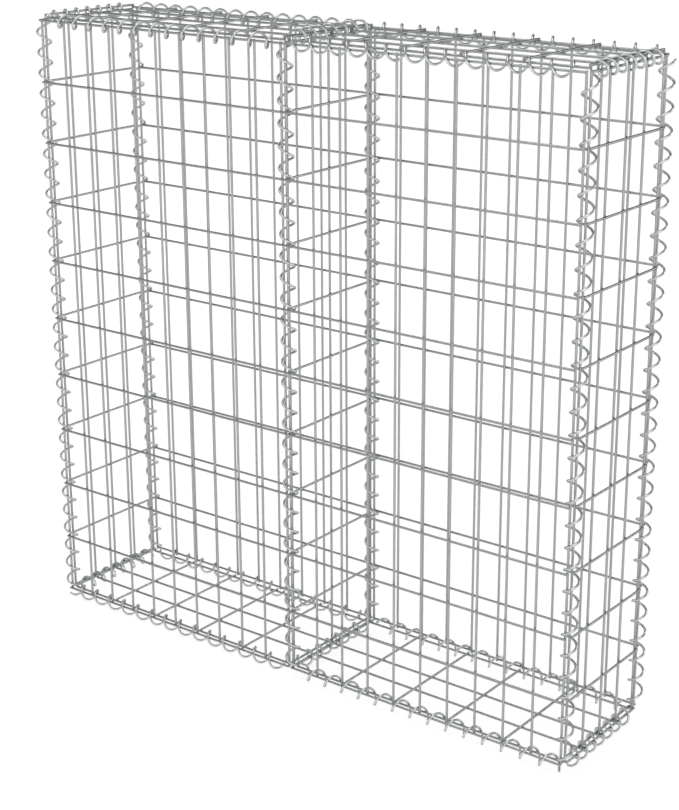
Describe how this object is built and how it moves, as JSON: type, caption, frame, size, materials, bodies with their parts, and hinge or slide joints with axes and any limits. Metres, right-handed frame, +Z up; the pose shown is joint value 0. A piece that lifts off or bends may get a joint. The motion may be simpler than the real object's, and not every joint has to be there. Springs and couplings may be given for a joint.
{
  "type": "gabion wall basket",
  "caption": "Empty welded-wire gabion wall basket in bays, with a lid, a base and a partition, its mesh panels laced along every edge by wire coils.",
  "frame": {"origin": "centre of the footprint, on the floor that the lowest coils stand on", "axes": "+X along the wall, +Y from the front face to the back face, +Z up"},
  "size_m": [1.0394, 0.2382, 1.0359],
  "materials": {
    "mesh_wire": "galvanised",
    "coil_wire": "galvanised"
  },
  "bodies": {
    "root": {"front_left": "mesh_wire", "front_right": "mesh_wire", "back_left": "mesh_wire", "back_right": "mesh_wire", "end_left": "mesh_wire", "end_right": "mesh_wire", "middle": "mesh_wire", "base_left": "mesh_wire", "base_right": "mesh_wire", "lid_left": "mesh_wire", "lid_right": "mesh_wire", "coil_post_front_left": "coil_wire", "coil_post_front_mid": "coil_wire", "coil_post_front_right": "coil_wire", "coil_post_back_left": "coil_wire", "coil_post_back_mid": "coil_wire", "coil_post_back_right": "coil_wire", "coil_lid_front_left": "coil_wire", "coil_lid_front_right": "coil_wire", "coil_lid_back_left": "coil_wire", "coil_lid_back_right": "coil_wire", "coil_lid_end_left": "coil_wire", "coil_lid_mid": "coil_wire", "coil_lid_end_right": "coil_wire", "coil_base_front_left": "coil_wire", "coil_base_front_right": "coil_wire", "coil_base_back_left": "coil_wire", "coil_base_back_right": "coil_wire", "coil_base_end_left": "coil_wire", "coil_base_mid": "coil_wire", "coil_base_end_right": "coil_wire"}
  },
  "joints": []
}
